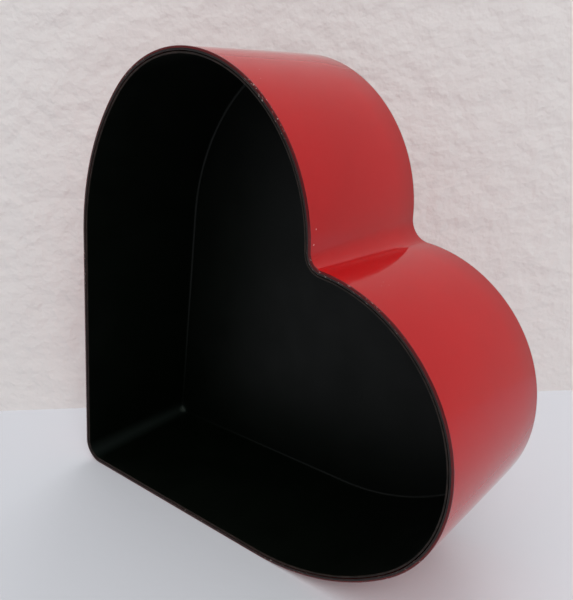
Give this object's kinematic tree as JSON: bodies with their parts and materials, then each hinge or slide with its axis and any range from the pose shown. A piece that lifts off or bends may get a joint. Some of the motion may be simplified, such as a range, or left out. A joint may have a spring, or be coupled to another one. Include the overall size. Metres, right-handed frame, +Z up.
{
  "type": "heart-shaped wind-up music box",
  "caption": "Open heart-shaped lacquered box on its side, with a spring-driven cylinder and comb movement on its floor and a winding key at its back.",
  "frame": {"origin": "middle of the flat straight side that the case lies on, on its outer face", "axes": "+X along the resting side, away from the heart's tip; +Y into the case, from its open mouth to its closed back; +Z up"},
  "size_m": [0.2526, 0.1021, 0.2329],
  "materials": {
    "red_lacquer": "high-gloss red lacquer over moulded resin",
    "black_lining": "matt black",
    "rubber": "moulded, matt",
    "brass": "turned, satin",
    "steel": "nickel plated, satin",
    "spring_steel": "blued",
    "cast_zinc": "die-cast zinc, satin",
    "nylon": "moulded, satin"
  },
  "bodies": {
    "case": {"outer_shell": "red_lacquer", "wall_lining": "black_lining", "floor_lining": "black_lining", "foot_tip": "rubber", "foot_lower": "rubber", "foot_upper": "rubber", "foot_screw_1": "steel", "foot_screw_2": "steel", "foot_screw_3": "steel", "key_eyelet": "brass", "movement_screw_1": "steel", "movement_screw_2": "steel", "movement_screw_3": "steel", "bedplate": "cast_zinc", "comb": "steel", "comb_screw_1": "brass", "comb_screw_2": "brass", "drive_post": "steel", "fly_post": "steel", "governor_bracket": "steel", "post_screw_1": "steel", "post_screw_2": "steel", "post_screw_3": "steel", "bridge_pillar_1": "brass", "bridge_pillar_2": "brass", "barrel_bridge": "steel", "bridge_screw_1": "steel", "bridge_screw_2": "steel", "clutch_spring": "spring_steel", "stop_pillar": "brass", "stop_screw": "steel"},
    "winder": {"winding_arbor": "steel", "winding_key": "brass"},
    "barrel": {"spring_barrel": "brass", "barrel_lid": "steel", "mainspring": "spring_steel"},
    "cylinder": {"pinned_cylinder": "brass", "cylinder_arbor": "steel", "drive_pinion": "brass", "great_gear": "brass"},
    "lay": {"lay_arbor": "steel", "lay_pinion": "brass", "worm_wheel": "nylon"},
    "governor": {"worm_shaft": "steel", "air_fan": "brass"},
    "stop": {"stop_lever": "steel"}
  },
  "joints": [
    {"name": "key_winding", "type": "hinge", "parent": "case", "child": "winder", "pos_m": [0.12237, 0.03949, 0.11182], "axis": [0, -0.9988, 0.0487], "range_deg": [0, 1800]},
    {"name": "cylinder_turning", "type": "hinge", "parent": "case", "child": "cylinder", "pos_m": [0.11485, 0.02935, 0.12167], "axis": [0.6266, -0.0379, -0.7784], "continuous": true},
    {"name": "barrel_turning", "type": "hinge", "parent": "case", "child": "barrel", "pos_m": [0.12237, 0.03949, 0.11182], "axis": [0, -0.9988, 0.0487], "continuous": true},
    {"name": "lay_turning", "type": "hinge", "parent": "case", "child": "lay", "pos_m": [0.10924, 0.03163, 0.11705], "axis": [0.6266, -0.0379, -0.7784], "continuous": true},
    {"name": "governor_spinning", "type": "hinge", "parent": "case", "child": "governor", "pos_m": [0.13569, 0.03776, 0.07637], "axis": [0, -0.9988, 0.0487], "continuous": true},
    {"name": "stop_lever_swing", "type": "hinge", "parent": "case", "child": "stop", "pos_m": [0.13039, 0.03808, 0.08289], "axis": [0, -0.9988, 0.0487], "range_deg": [0, 25]}
  ],
  "couplings": [
    {"joint": "barrel_turning", "follows": "cylinder_turning", "ratio": 0.25},
    {"joint": "lay_turning", "follows": "cylinder_turning", "ratio": -4.4},
    {"joint": "governor_spinning", "follows": "cylinder_turning", "ratio": -105.6}
  ]
}
